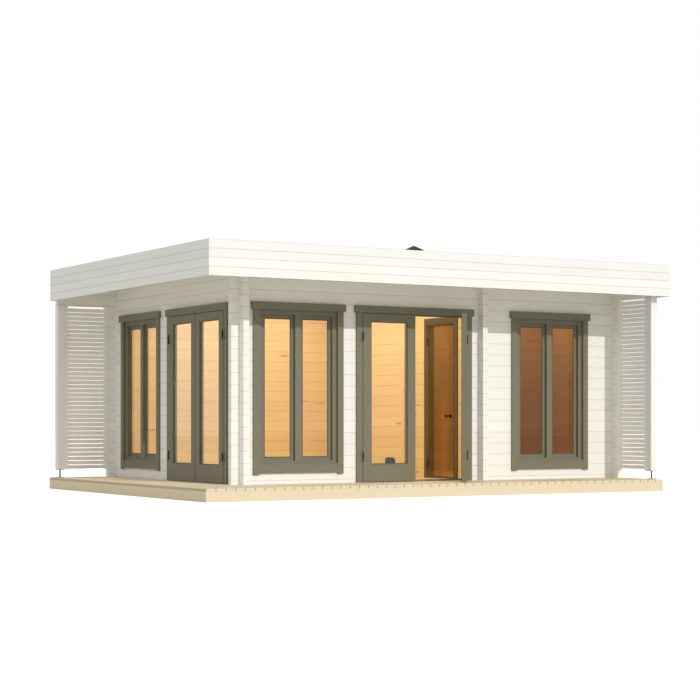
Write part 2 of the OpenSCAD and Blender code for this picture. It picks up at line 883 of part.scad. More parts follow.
module chimney_cap() {
    collar_h = 24;
    strut_w = 8;
    collar_r = pipe_d / 2 + pin_gap;
    slope = cap_h / (cap_d / 2);
    color(black_iron) on_floor() translate([chimney_x, chimney_y, 0]) {
        translate([0, 0, cap_z]) difference() {
            cylinder(d1 = cap_d, d2 = 0, h = cap_h);
            translate([0, 0, -cap_t]) cylinder(d1 = cap_d, d2 = 0, h = cap_h);
        }
        translate([0, 0, pipe_top_z - collar_h]) difference() {
            cylinder(r = collar_r + strut_w / 2, h = collar_h);
            translate([0, 0, -cut]) cylinder(r = collar_r, h = collar_h + 2 * cut);
        }
        for (a = [30, 150, 270]) rotate([0, 0, a])
            box([collar_r + 0.5, -strut_w / 2, pipe_top_z - collar_h],
                [collar_r + strut_w, strut_w / 2, cap_z + cap_h - slope * (collar_r + strut_w)]);
    }
}

frame_along_x();
frame_along_y();
deck_boards();
floor();
front_wall_left();
front_wall_right();
side_wall_front();
side_wall_rear();
rear_wall();
right_wall();
partition();
cross_wall();
over_door_logs();
roof_beams();
posts();
post_feet();
rear_screen();
right_screen();
ceiling();
roof_joists();
roof_boards();
fascia_front();
fascia_left();
fascia_rear();
fascia_right();
front_window();
right_window();
side_window();
window_glass();
front_door_frame();
side_door_frame();
front_leaf_left();
front_leaf_left_glass();
front_leaf_right();
front_leaf_right_glass();
side_leaf_far();
side_leaf_far_glass();
side_leaf_near();
side_leaf_near_glass();
sauna_door_frame();
sauna_door_glass();
sauna_door_fittings();
firing_door();
chimney_pipe();
chimney_cap();
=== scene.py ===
"""Sauna summerhouse: painted log walls, a timber deck, glazed doors and a flat roof.

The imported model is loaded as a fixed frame. Its logs, frames and leaves get their
finishes here, and the deck planks, screws, glazing beads, roof trim and other small
pieces are modelled on top of it. All lengths are in metres.
"""

from __future__ import annotations

import json
import logging
import math
from dataclasses import dataclass, field
from enum import Enum

import bmesh
import bpy
from mathutils import Matrix, Vector

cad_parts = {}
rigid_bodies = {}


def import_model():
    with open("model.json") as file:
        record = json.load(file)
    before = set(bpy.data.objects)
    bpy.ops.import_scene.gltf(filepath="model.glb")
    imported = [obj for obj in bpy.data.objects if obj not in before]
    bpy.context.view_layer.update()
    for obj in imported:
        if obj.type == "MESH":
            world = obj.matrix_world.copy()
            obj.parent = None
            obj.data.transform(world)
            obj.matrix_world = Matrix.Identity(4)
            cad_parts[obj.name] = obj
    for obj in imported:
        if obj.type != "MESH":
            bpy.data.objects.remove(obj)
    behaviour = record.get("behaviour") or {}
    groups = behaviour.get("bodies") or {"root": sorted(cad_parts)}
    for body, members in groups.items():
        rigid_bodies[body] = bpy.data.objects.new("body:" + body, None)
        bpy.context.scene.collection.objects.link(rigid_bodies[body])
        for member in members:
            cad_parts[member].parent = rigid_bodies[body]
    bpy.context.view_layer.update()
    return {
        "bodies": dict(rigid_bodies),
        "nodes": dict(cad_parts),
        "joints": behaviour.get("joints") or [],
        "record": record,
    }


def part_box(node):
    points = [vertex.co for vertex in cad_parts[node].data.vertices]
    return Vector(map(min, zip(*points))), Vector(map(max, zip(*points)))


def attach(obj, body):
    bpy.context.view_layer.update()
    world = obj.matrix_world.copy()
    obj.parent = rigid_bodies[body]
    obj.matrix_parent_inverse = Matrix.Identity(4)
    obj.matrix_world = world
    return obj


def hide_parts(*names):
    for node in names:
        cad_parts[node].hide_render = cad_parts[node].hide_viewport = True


LOG = logging.getLogger("summerhouse")
Corner = tuple[float, float, float]
Sockets = bpy.types.NodeSocket


# ---- Sizes that more than one class needs ------------------------------------


@dataclass(frozen=True)
class Place:
    """Where the cabin's front left corner and floor lie in the frame."""

    x: float = -2.270
    y: float = -1.368
    z: float = 0.140

    def at(self, x: float, y: float, z: float) -> Vector:
        """The frame's point for one that is measured from the cabin's corner."""
        return Vector((self.x + x, self.y + y, self.z + z))


CORNER = Place()


class Run(Enum):
    """The direction that a piece's grain runs in."""

    LEVEL = (1.6, 1.6, 26.0)
    UPRIGHT = (26.0, 26.0, 1.6)
    DEEP = (26.0, 1.6, 26.0)


class Side(Enum):
    """The side of a doorway that a leaf hangs on, as the sign of its hinge's place."""

    LEFT = -1
    RIGHT = 1


def shade(red: int, green: int, blue: int) -> tuple[float, float, float, float]:
    """A screen colour from 0 to 255 as the linear colour that a shader reads.

    Args:
        red: Red, 0 to 255.
        green: Green, 0 to 255.
        blue: Blue, 0 to 255.

    Returns:
        The linear colour with an alpha of 1.
    """
    parts = []
    for value in (red, green, blue):
        c = value / 255
        parts.append(c / 12.92 if c <= 0.04045 else ((c + 0.055) / 1.055) ** 2.4)
    return (*parts, 1.0)


# ---- Node trees ----------------------------------------------------------------


class Tree:
    """A node tree with short ways to add nodes and join them."""

    def __init__(self, tree: bpy.types.NodeTree) -> None:
        """Keeps the tree that the nodes go in."""
        self.tree = tree

    def add(self, kind: str, **settings: object) -> bpy.types.Node:
        """Adds a node.

        Args:
            kind: The node's type name.
            **settings: Properties to set on it.

        Returns:
            The new node.
        """
        node = self.tree.nodes.new(kind)
        for name, value in settings.items():
            setattr(node, name, value)
        return node

    def feed(self, target: Sockets, value: object) -> None:
        """Joins a socket to another, or gives it a plain value."""
        if isinstance(value, bpy.types.NodeSocket):
            self.tree.links.new(value, target)
        else:
            target.default_value = value

    def sum(self, operation: str, *values: object) -> Sockets:
        """A Math node on one to three values, and its result."""
        node = self.add("ShaderNodeMath", operation=operation)
        for target, value in zip(node.inputs, values):
            self.feed(target, value)
        return node.outputs[0]

    def mix(self, amount: object, low: object, high: object, blend: str = "MIX") -> Sockets:
        """A colour between two others.

        Args:
            amount: 0 for the first colour, 1 for the second.
            low: The first colour.
            high: The second colour.
            blend: The way that they blend.

        Returns:
            The socket with the blended colour.
        """
        node = self.add("ShaderNodeMix", data_type="RGBA", blend_type=blend)
        self.feed(node.inputs["Factor"], amount)
        self.feed(node.inputs[6], low)
        self.feed(node.inputs[7], high)
        return node.outputs[2]

    def spread(self, value: object, low: float, high: float, to_low: float = 0.0, to_high: float = 1.0) -> Sockets:
        """Carries a value from one span to another and stops at its ends."""
        node = self.add("ShaderNodeMapRange", clamp=True)
        for name, item in (("Value", value), ("From Min", low), ("From Max", high), ("To Min", to_low), ("To Max", to_high)):
            self.feed(node.inputs[name], item)
        return node.outputs["Result"]

    def scaled(self, vector: Sockets, scale: object) -> Sockets:
        """A vector with each of its parts scaled."""
        node = self.add("ShaderNodeVectorMath", operation="MULTIPLY")
        self.feed(node.inputs[0], vector)
        self.feed(node.inputs[1], scale)
        return node.outputs[0]

    def noise(self, vector: Sockets, scale: float, detail: float = 3.0, rough: float = 0.55) -> Sockets:
        """A noise pattern's value."""
        node = self.add("ShaderNodeTexNoise")
        self.feed(node.inputs["Vector"], vector)
        for name, value in (("Scale", scale), ("Detail", detail), ("Roughness", rough)):
            self.feed(node.inputs[name], value)
        return node.outputs["Fac"]

    def parts(self, vector: Sockets) -> list[Sockets]:
        """The X, Y and Z of a vector."""
        node = self.add("ShaderNodeSeparateXYZ")
        self.feed(node.inputs[0], vector)
        return list(node.outputs)

    def group(self, tree: bpy.types.NodeTree, **values: object) -> bpy.types.Node:
        """Places a shared node group.

        Args:
            tree: The group's tree.
            **values: Its inputs, with _ for a space.

        Returns:
            The group's node.
        """
        node = self.add("ShaderNodeGroup", node_tree=tree)
        for name, value in values.items():
            self.feed(node.inputs[name.replace("_", " ")], value)
        return node


def new_group(name: str, inputs: dict[str, str], outputs: dict[str, str]) -> tuple[Tree, bpy.types.Node, bpy.types.Node]:
    """Makes an empty shader node group.

    Args:
        name: The group's name.
        inputs: Socket types by input name.
        outputs: Socket types by output name.

    Returns:
        The tree, its input node and its output node.
    """
    tree = bpy.data.node_groups.new(name, "ShaderNodeTree")
    for title, kind in inputs.items():
        tree.interface.new_socket(title, in_out="INPUT", socket_type=kind)
    for title, kind in outputs.items():
        tree.interface.new_socket(title, in_out="OUTPUT", socket_type=kind)
    made = Tree(tree)
    return made, made.add("NodeGroupInput"), made.add("NodeGroupOutput")


VALUE, VECTOR, COLOUR = "NodeSocketFloat", "NodeSocketVector", "NodeSocketColor"


class Patterns:
    """The node groups that the finishes share."""

    def __init__(self) -> None:
        """Builds every group once."""
        self.grain = self._grain()
        self.courses = self._courses()
        self.within = self._within()
        self.barrel = self._barrel()
        self.wear = self._wear()

    def _grain(self) -> bpy.types.NodeTree:
        """Wood grain with long streaks, fine fibres and a few knots."""
        t, put, out = new_group(
            "wood_grain",
            {"Vector": VECTOR, "Run": VECTOR, "Offset": VALUE, "Light": COLOUR, "Dark": COLOUR, "Knot": COLOUR},
            {"Color": COLOUR, "Height": VALUE},
        )
        shift = t.add("ShaderNodeVectorMath", operation="ADD")
        t.feed(shift.inputs[0], put.outputs["Vector"])
        t.feed(shift.inputs[1], put.outputs["Offset"])
        line = t.scaled(shift.outputs[0], put.outputs["Run"])
        bands = t.noise(line, 1.5, 4.0, 0.6)
        fibre = t.noise(line, 9.0, 3.0, 0.7)
        rings = t.sum("ABSOLUTE", t.sum("SINE", t.sum("MULTIPLY", bands, 38.0)))
        tone = t.sum("ADD", t.sum("MULTIPLY", rings, 0.35), t.sum("MULTIPLY", fibre, 0.55))
        body = t.mix(t.spread(tone, 0.15, 0.85), put.outputs["Light"], put.outputs["Dark"])
        cell = t.add("ShaderNodeTexVoronoi", feature="F1")
        squeezed = t.scaled(line, (0.55, 0.55, 0.2))
        t.feed(cell.inputs["Vector"], squeezed)
        t.feed(cell.inputs["Scale"], 1.1)
        knot = t.spread(cell.outputs["Distance"], 0.05, 0.11, 1.0, 0.0)
        t.feed(out.inputs["Color"], t.mix(t.sum("MULTIPLY", knot, 0.65), body, put.outputs["Knot"]))
        t.feed(out.inputs["Height"], t.sum("SUBTRACT", fibre, t.sum("MULTIPLY", rings, 0.3)))
        return t.tree

    def _courses(self) -> bpy.types.NodeTree:
        """A mask of the joints between courses or boards, which the finishes darken as painted shade, and a random tone
        for each.
        """
        t, put, out = new_group(
            "course_joints",
            {"Position": VALUE, "First": VALUE, "Pitch": VALUE, "Half Width": VALUE},
            {"Joint Shade": VALUE, "Tone": VALUE, "Course": VALUE},
        )
        ratio = t.sum("DIVIDE", t.sum("SUBTRACT", put.outputs["Position"], put.outputs["First"]), put.outputs["Pitch"])
        course = t.sum("FLOOR", ratio)
        part = t.sum("SUBTRACT", ratio, course)
        near = t.sum("MULTIPLY", t.sum("MINIMUM", part, t.sum("SUBTRACT", 1.0, part)), put.outputs["Pitch"])
        joint_shade = t.add("ShaderNodeMapRange", clamp=True)
        t.feed(joint_shade.inputs["Value"], near)
        t.feed(joint_shade.inputs["From Min"], t.sum("MULTIPLY", put.outputs["Half Width"], 0.5))
        t.feed(joint_shade.inputs["From Max"], put.outputs["Half Width"])
        t.feed(joint_shade.inputs["To Min"], 1.0)
        t.feed(joint_shade.inputs["To Max"], 0.0)
        chance = t.add("ShaderNodeTexWhiteNoise", noise_dimensions="1D")
        t.feed(chance.inputs["W"], course)
        t.feed(out.inputs["Joint Shade"], joint_shade.outputs["Result"])
        t.feed(out.inputs["Tone"], chance.outputs["Value"])
        t.feed(out.inputs["Course"], course)
        return t.tree

    def _within(self) -> bpy.types.NodeTree:
        """A mask that is 1 between two corners."""
        t, put, out = new_group("within_box", {"Vector": VECTOR, "Low": VECTOR, "High": VECTOR}, {"Mask": VALUE})
        mask: object = 1.0
        sides = [t.parts(put.outputs[name]) for name in ("Vector", "Low", "High")]
        for here, low, high in zip(*sides):
            mask = t.sum("MULTIPLY", mask, t.sum("GREATER_THAN", here, low))
            mask = t.sum("MULTIPLY", mask, t.sum("LESS_THAN", here, high))
        t.feed(out.inputs["Mask"], mask)
        return t.tree

    def _barrel(self) -> bpy.types.NodeTree:
        """A mask of what lies close to an upright line."""
        t, put, out = new_group("near_upright", {"Vector": VECTOR, "Axis": VECTOR, "Radius": VALUE, "Top": VALUE}, {"Mask": VALUE})
        gap = t.add("ShaderNodeVectorMath", operation="DISTANCE")
        t.feed(gap.inputs[0], t.scaled(put.outputs["Vector"], (1.0, 1.0, 0.0)))
        t.feed(gap.inputs[1], t.scaled(put.outputs["Axis"], (1.0, 1.0, 0.0)))
        near = t.sum("LESS_THAN", gap.outputs["Value"], put.outputs["Radius"])
        below = t.sum("LESS_THAN", t.parts(put.outputs["Vector"])[2], put.outputs["Top"])
        t.feed(out.inputs["Mask"], t.sum("MULTIPLY", near, below))
        return t.tree

    def _wear(self) -> bpy.types.NodeTree:
        """Slow patches of weather and dust, darker towards the ground."""
        t, put, out = new_group("weathering", {"Vector": VECTOR, "Color": COLOUR, "Amount": VALUE}, {"Color": COLOUR, "Patch": VALUE})
        patch = t.noise(put.outputs["Vector"], 2.3, 5.0, 0.6)
        height = t.parts(put.outputs["Vector"])[2]
        low = t.spread(height, 0.0, 0.35, 0.5, 0.0)
        amount = t.sum("MULTIPLY", t.sum("ADD", t.spread(patch, 0.4, 0.75), low), put.outputs["Amount"])
        t.feed(out.inputs["Color"], t.mix(amount, put.outputs["Color"], shade(150, 140, 118)))
        t.feed(out.inputs["Patch"], patch)
        return t.tree


# ---- Finishes ---------------------------------------------------------------------


@dataclass(frozen=True)
class Paint:
    """A coat of paint on timber."""

    colour: tuple[float, float, float, float]
    rough: float = 0.55
    dirt: float = 0.05
    grain: float = 0.05


@dataclass(frozen=True)
class Wood:
    """Bare or oiled timber, by its early wood, late wood and knots."""

    light: tuple[float, float, float, float]
    dark: tuple[float, float, float, float]
    knot: tuple[float, float, float, float]
    rough: float = 0.6


@dataclass(frozen=True)
class Courses:
    """Even joints along one axis, darkened as painted shade: the axis, the first joint, the spacing and the width."""

    axis: int
    first: float
    pitch: float
    half: float
    # How dark the painted shade in the joints is.
    depth: float = 0.25


@dataclass(frozen=True)
class Pane:
    """A glass by the tint of one pane."""

    tint: tuple[float, float, float, float]
    shadow: tuple[float, float, float, float]


WHITE = Paint(shade(250, 249, 244), dirt=0.03)
OLIVE = Paint(shade(125, 122, 101), rough=0.5, dirt=0.04, grain=0.08)
# The olive paint darkened and browned as painted shade, for the sauna door frame that stands indoors.
OLIVE_IN_SHADE = Paint(shade(92, 82, 56), rough=0.5, dirt=0.02, grain=0.14)
SPRUCE = Wood(shade(240, 216, 158), shade(228, 195, 132), shade(172, 118, 66))
LARCH = Wood(shade(238, 226, 200), shade(226, 208, 172), shade(176, 142, 98), rough=0.7)
CLEAR = Pane((0.97, 0.98, 0.97, 1.0), (0.92, 0.94, 0.92, 1.0))
BRONZE = Pane((0.66, 0.46, 0.26, 1.0), (0.55, 0.36, 0.18, 1.0))


class Finishes:
    """Makes the materials of the summerhouse."""

    def __init__(self) -> None:
        """Builds the shared groups."""
        self.patterns = Patterns()

    def _start(self, name: str) -> tuple[Tree, bpy.types.Node, Sockets]:
        """A new material with one Principled shader and the piece's own coordinates."""
        material = bpy.data.materials.new(name)
        material.use_nodes = True
        tree = Tree(material.node_tree)
        shader = material.node_tree.nodes["Principled BSDF"]
        spot = tree.add("ShaderNodeTexCoord").outputs["Object"]
        return tree, shader, spot

    def _bump(self, t: Tree, shader: bpy.types.Node, height: Sockets, strength: float, distance: float) -> None:
        """Joins a height to the shader through a Bump node."""
        bump = t.add("ShaderNodeBump")
        bump.inputs["Strength"].default_value = strength
        bump.inputs["Distance"].default_value = distance
        t.feed(bump.inputs["Height"], height)
        t.feed(shader.inputs["Normal"], bump.outputs["Normal"])

    def _rows(self, t: Tree, spot: Sockets, courses: Courses | None) -> tuple[object, object, object]:
        """The mask of the painted shade in the joints, the tone and the grain's offset of the rows that a piece shows.
        """
        if courses is None:
            return 0.0, 0.5, 0.0
        here = t.parts(spot)[courses.axis]
        rows = t.group(self.patterns.courses, Position=here, First=courses.first, Pitch=courses.pitch, Half_Width=courses.half)
        offset = t.sum("MULTIPLY", rows.outputs["Course"], 3.71)
        return t.sum("MULTIPLY", rows.outputs["Joint Shade"], courses.depth), rows.outputs["Tone"], offset

    def painted(self, name: str, paint: Paint, run: Run = Run.LEVEL, courses: Courses | None = None,
                barrels: tuple[Vector, ...] = ()) -> bpy.types.Material:
        """Painted timber.

        Args:
            name: The material's name.
            paint: The coat.
            run: The direction of the grain that shows through.
            courses: The joints to shade, if any.
            barrels: Upright lines whose steel barrels are dark.

        Returns:
            The material.
        """
        t, shader, spot = self._start(name)
        joint_shade, tone, offset = self._rows(t, spot, courses)
        grain = t.group(self.patterns.grain, Vector=spot, Run=run.value, Offset=offset, Light=paint.colour,
                        Dark=tuple(c * (1 - paint.grain) for c in paint.colour[:3]) + (1.0,),
                        Knot=tuple(c * (1 - 1.3 * paint.grain) for c in paint.colour[:3]) + (1.0,))
        aged = t.group(self.patterns.wear, Vector=spot, Color=grain.outputs["Color"], Amount=paint.dirt)
        colour = t.mix(t.sum("MULTIPLY", tone, 0.05), aged.outputs["Color"], (0.0, 0.0, 0.0, 1.0))
        # Painted shade: the joints turn near black, standing in for the shade in the grooves.
        colour = t.mix(joint_shade, colour, (0.05, 0.045, 0.03, 1.0))
        rough: object = t.spread(aged.outputs["Patch"], 0.3, 0.8, paint.rough - 0.08, paint.rough + 0.1)
        for axis in barrels:
            near = t.group(self.patterns.barrel, Vector=spot, Axis=tuple(axis), Radius=0.0088, Top=CORNER.z + 1.90)
            colour = t.mix(near.outputs["Mask"], colour, shade(38, 36, 30))
        t.feed(shader.inputs["Base Color"], colour)
        t.feed(shader.inputs["Roughness"], rough)
        self._bump(t, shader, grain.outputs["Height"], 0.25, 0.0012)
        return bpy.data.materials[name]

    def log_wall(self, name: str, courses: Courses) -> bpy.types.Material:
        """Logs that are painted outdoors and bare indoors.

        Args:
            name: The material's name.
            courses: The joints between the logs.

        Returns:
            The material.
        """
        t, shader, spot = self._start(name)
        joint_shade, tone, offset = self._rows(t, spot, courses)
        low, high = CORNER.at(0.035, 0.035, -0.5), CORNER.at(5.235, 3.501, 2.5)
        indoors = t.group(self.patterns.within, Vector=spot, Low=tuple(low), High=tuple(high)).outputs["Mask"]
        bare = t.group(self.patterns.grain, Vector=spot, Run=Run.LEVEL.value, Offset=offset,
                       Light=SPRUCE.light, Dark=SPRUCE.dark, Knot=SPRUCE.knot)
        bare_colour = t.mix(t.sum("MULTIPLY", tone, 0.16), bare.outputs["Color"], shade(206, 150, 92))
        coat = t.group(self.patterns.wear, Vector=spot, Color=WHITE.colour, Amount=WHITE.dirt)
        coat_colour = t.mix(t.sum("MULTIPLY", t.sum("ADD", tone, bare.outputs["Height"]), 0.05),
                            coat.outputs["Color"], shade(120, 116, 104))
        colour = t.mix(indoors, coat_colour, bare_colour)
        # Painted shade in the joints between logs: grey outdoors, brown indoors.
        line = t.mix(indoors, shade(96, 92, 80), shade(150, 96, 48))
        t.feed(shader.inputs["Base Color"], t.mix(joint_shade, colour, line))
        t.feed(shader.inputs["Roughness"], t.spread(coat.outputs["Patch"], 0.3, 0.8, 0.5, 0.66))
        self._bump(t, shader, bare.outputs["Height"], 0.3, 0.0012)
        return bpy.data.materials[name]

    def bare(self, name: str, wood: Wood, run: Run, courses: Courses | None = None) -> bpy.types.Material:
        """Bare timber.

        Args:
            name: The material's name.
            wood: The timber.
            run: The direction of its grain.
            courses: The joints between its boards, if any.

        Returns:
            The material.
        """
        t, shader, spot = self._start(name)
        joint_shade, tone, offset = self._rows(t, spot, courses)
        grain = t.group(self.patterns.grain, Vector=spot, Run=run.value, Offset=offset,
                        Light=wood.light, Dark=wood.dark, Knot=wood.knot)
        colour = t.mix(t.sum("MULTIPLY", tone, 0.3), grain.outputs["Color"], wood.dark)
        # Painted shade in the joints between boards, in the knot colour, where the piece has joints.
        t.feed(shader.inputs["Base Color"], t.mix(joint_shade, colour, wood.knot))
        t.feed(shader.inputs["Roughness"], t.spread(grain.outputs["Height"], 0.0, 1.0, wood.rough - 0.08, wood.rough + 0.1))
        self._bump(t, shader, grain.outputs["Height"], 0.4, 0.0015)
        return bpy.data.materials[name]

    def soffit(self, name: str) -> bpy.types.Material:
        """Ceiling boards that are painted outside the walls and bare between them."""
        t, shader, spot = self._start(name)
        rows = Courses(1, CORNER.y, 0.096, 0.004, 0.5)
        joint_shade, tone, offset = self._rows(t, spot, rows)
        low, high = CORNER.at(0.0, 0.0, -0.5), CORNER.at(5.27, 3.536, 3.0)
        indoors = t.group(self.patterns.within, Vector=spot, Low=tuple(low), High=tuple(high)).outputs["Mask"]
        bare = t.group(self.patterns.grain, Vector=spot, Run=Run.LEVEL.value, Offset=offset,
                       Light=SPRUCE.light, Dark=SPRUCE.dark, Knot=SPRUCE.knot)
        colour = t.mix(indoors, t.mix(t.sum("MULTIPLY", tone, 0.06), WHITE.colour, shade(150, 146, 134)), bare.outputs["Color"])
        # Painted shade in the joints between the ceiling boards.
        t.feed(shader.inputs["Base Color"], t.mix(joint_shade, colour, shade(110, 92, 66)))
        shader.inputs["Roughness"].default_value = 0.6
        self._bump(t, shader, bare.outputs["Height"], 0.3, 0.001)
        return bpy.data.materials[name]

    def felt(self, name: str) -> bpy.types.Material:
        """Mineral roofing felt in lapped strips."""
        t, shader, spot = self._start(name)
        joint_shade, tone, _ = self._rows(t, spot, Courses(1, CORNER.y, 1.0, 0.012, 0.7))
        grit = t.noise(spot, 420.0, 2.0, 0.7)
        patch = t.noise(spot, 1.7, 4.0, 0.6)
        colour = t.mix(t.spread(grit, 0.35, 0.7), shade(52, 53, 54), shade(96, 97, 98))
        colour = t.mix(t.sum("MULTIPLY", t.sum("ADD", patch, tone), 0.18), colour, shade(128, 124, 114))
        # Painted shade along the laps between the strips.
        t.feed(shader.inputs["Base Color"], t.mix(joint_shade, colour, shade(28, 28, 28)))
        t.feed(shader.inputs["Roughness"], t.spread(grit, 0.3, 0.7, 0.82, 0.95))
        self._bump(t, shader, grit, 0.5, 0.0015)
        return bpy.data.materials[name]

    def metal(self, name: str, colour: tuple[float, float, float, float], metallic: float, rough: float) -> bpy.types.Material:
        """Metal with faint brushing and stains.

        Args:
            name: The material's name.
            colour: Its colour.
            metallic: 0 for a painted surface, 1 for bare metal.
            rough: Its roughness.

        Returns:
            The material.
        """
        t, shader, spot = self._start(name)
        streak = t.noise(t.scaled(spot, (60.0, 60.0, 6.0)), 1.5, 3.0, 0.6)
        aged = t.group(self.patterns.wear, Vector=spot, Color=colour, Amount=0.08)
        low = tuple(0.8 * c for c in colour[:3]) + (1.0,)
        t.feed(shader.inputs["Base Color"], t.mix(t.sum("MULTIPLY", streak, 0.5), aged.outputs["Color"], low))
        shader.inputs["Metallic"].default_value = metallic
        t.feed(shader.inputs["Roughness"], t.spread(streak, 0.2, 0.8, rough - 0.07, rough + 0.1))
        self._bump(t, shader, streak, 0.12, 0.0006)
        return bpy.data.materials[name]

    def glass(self, name: str, pane: Pane, other: Pane | None = None, border: float = 0.0) -> bpy.types.Material:
        """Glass that lets the sun through.

        Args:
            name: The material's name.
            pane: The glass.
            other: The glass to the right of the border, if it differs.
            border: The place along X where it changes.

        Returns:
            The material.
        """
        t, shader, spot = self._start(name)
        smear = t.noise(spot, 3.0, 3.0, 0.5)
        tint: object = t.mix(t.sum("MULTIPLY", smear, 0.03), pane.tint, (0.85, 0.87, 0.86, 1.0))
        veil: object = pane.shadow
        if other is not None:
            right = t.sum("GREATER_THAN", t.parts(spot)[0], border)
            tint = t.mix(right, tint, other.tint)
            veil = t.mix(right, pane.shadow, other.shadow)
        t.feed(shader.inputs["Base Color"], tint)
        t.feed(shader.inputs["Roughness"], t.spread(smear, 0.4, 0.9, 0.0, 0.02))
        shader.inputs["Transmission Weight"].default_value = 1.0
        shader.inputs["IOR"].default_value = 1.45
        through = t.add("ShaderNodeBsdfTransparent")
        t.feed(through.inputs["Color"], veil)
        ray = t.add("ShaderNodeLightPath")
        soft = t.sum("MAXIMUM", ray.outputs["Is Shadow Ray"], ray.outputs["Is Diffuse Ray"])
        both = t.add("ShaderNodeMixShader")
        t.feed(both.inputs[0], soft)
        t.feed(both.inputs[1], shader.outputs[0])
        t.feed(both.inputs[2], through.outputs[0])
        t.feed(t.tree.nodes["Material Output"].inputs["Surface"], both.outputs[0])
        return bpy.data.materials[name]


# ---- Modelling helpers --------------------------------------------------------------


def wear_finish(piece: bpy.types.Object, material: bpy.types.Material) -> None:
    """Puts one material on all of a piece."""
    piece.data.materials.clear()
    piece.data.materials.append(material)


def settle(piece: bpy.types.Object) -> None:
    """Applies a piece's place, turn and scale to its mesh."""
    bpy.ops.object.select_all(action="DESELECT")
    piece.select_set(True)
    bpy.context.view_layer.objects.active = piece
    bpy.ops.object.transform_apply(location=True, rotation=True, scale=True)


def bevelled(piece: bpy.types.Object, width: float, segments: int = 1) -> None:
    """Rounds a piece's edges with an applied bevel."""
    bpy.context.view_layer.objects.active = piece
    rounding = piece.modifiers.new("edges", "BEVEL")
    rounding.width = width
    rounding.segments = segments
    rounding.limit_method = "ANGLE"
    bpy.ops.object.modifier_apply(modifier=rounding.name)


def block(name: str, low: Vector, high: Vector, bevel: float) -> bpy.types.Object:
    """A board or block with softened edges.

    Args:
        name: The object's name.
        low: Its lowest corner.
        high: Its highest corner.
        bevel: The width of its softened edges.

    Returns:
        The block, with its place in its mesh.
    """
    bpy.ops.object.select_all(action="DESELECT")
    bpy.ops.mesh.primitive_cube_add(size=1.0, location=(low + high) / 2)
    piece = bpy.context.object
    piece.name = piece.data.name = name
    piece.scale = high - low
    settle(piece)
    bevelled(piece, bevel)
    return piece


def copied(source: bpy.types.Object, name: str, shift: Vector) -> bpy.types.Object:
    """A copy of a piece, moved, with its own mesh."""
    twin = source.copy()
    twin.data = source.data.copy()
    twin.name = twin.data.name = name
    twin.data.transform(Matrix.Translation(shift))
    bpy.context.collection.objects.link(twin)
    return twin


def joined(name: str, parts: list[bpy.types.Object]) -> bpy.types.Object:
    """Joins several pieces into one.

    Args:
        name: The joined object's name.
        parts: The pieces.

    Returns:
        The joined object.
    """
    bpy.ops.object.select_all(action="DESELECT")
    for part in parts:
        part.select_set(True)
    bpy.context.view_layer.objects.active = parts[0]
    if len(parts) > 1:
        bpy.ops.object.join()
    whole = bpy.context.view_layer.objects.active
    whole.name = whole.data.name = name
    return whole


# ---- Sub-assemblies -------------------------------------------------------------------


@dataclass
class Deck:
    """The terrace: planks along Y around the cabin, with their screws."""

    finishes: Finishes
    pitch: float = 0.115
    gap: float = 0.005
    screw: float = 0.0045
    screw_inset: float = 0.024

    def build(self) -> None:
        """Models the planks and screws in place of the plain deck."""
        low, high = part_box("deck_boards")
        cabin_low, cabin_high = CORNER.at(0, 0, 0), CORNER.at(5.27, 3.536, 0)
        planks: list[bpy.types.Object] = []
        count = round((high.x - low.x) / self.pitch)
        pitch = (high.x - low.x) / count
        for i in range(count):
            x0, x1 = low.x + i * pitch + self.gap / 2, low.x + (i + 1) * pitch - self.gap / 2
            for y0, y1 in self._lengths(x0, x1, low, high, cabin_low, cabin_high):
                planks.append(block("plank", Vector((x0, y0, low.z)), Vector((x1, y1, high.z)), 0.0025))
        deck = joined("deck_planks", planks)
        wear_finish(deck, self.finishes.bare("larch_deck", LARCH, Run.DEEP, Courses(0, low.x, pitch, 0.006, 0.55)))
        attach(deck, "cabin")
        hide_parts("deck_boards")
        self._screws(low, high, pitch, count)

    def _lengths(self, x0: float, x1: float, low: Vector, high: Vector, cabin_low: Vector,
                 cabin_high: Vector) -> list[tuple[float, float]]:
        """The stretches along Y that one plank covers beside the cabin."""
        if x1 <= cabin_low.x:
            return [(low.y, high.y)]
        edge = cabin_low.y - 0.002
        return [(low.y, edge), (cabin_high.y + 0.002, high.y)]

    def _screws(self, low: Vector, high: Vector, pitch: float, count: int) -> None:
        """Sinks two screws through every plank over the front joists."""
        bpy.ops.object.select_all(action="DESELECT")
        bpy.ops.mesh.primitive_cylinder_add(vertices=10, radius=self.screw, depth=0.0016, location=(0, 0, high.z + 0.0002))
        first = bpy.context.object
        settle(first)
        bevelled(first, 0.0005)
        heads: list[bpy.types.Object] = []
        front = CORNER.at(0, 0, 0).y
        for i in range(count):
            for side in (self.screw_inset, pitch - self.screw_inset):
                x = low.x + i * pitch + side
                for y in (low.y + 0.022, (low.y + front) / 2 + 0.02, front - 0.035):
                    heads.append(copied(first, "screw", Vector((x, y, 0.0))))
        bpy.data.objects.remove(first)
        screws = joined("deck_screws", heads)
        wear_finish(screws, self.finishes.metal("stainless_screws", shade(128, 124, 116), 0.8, 0.4))
        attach(screws, "cabin")


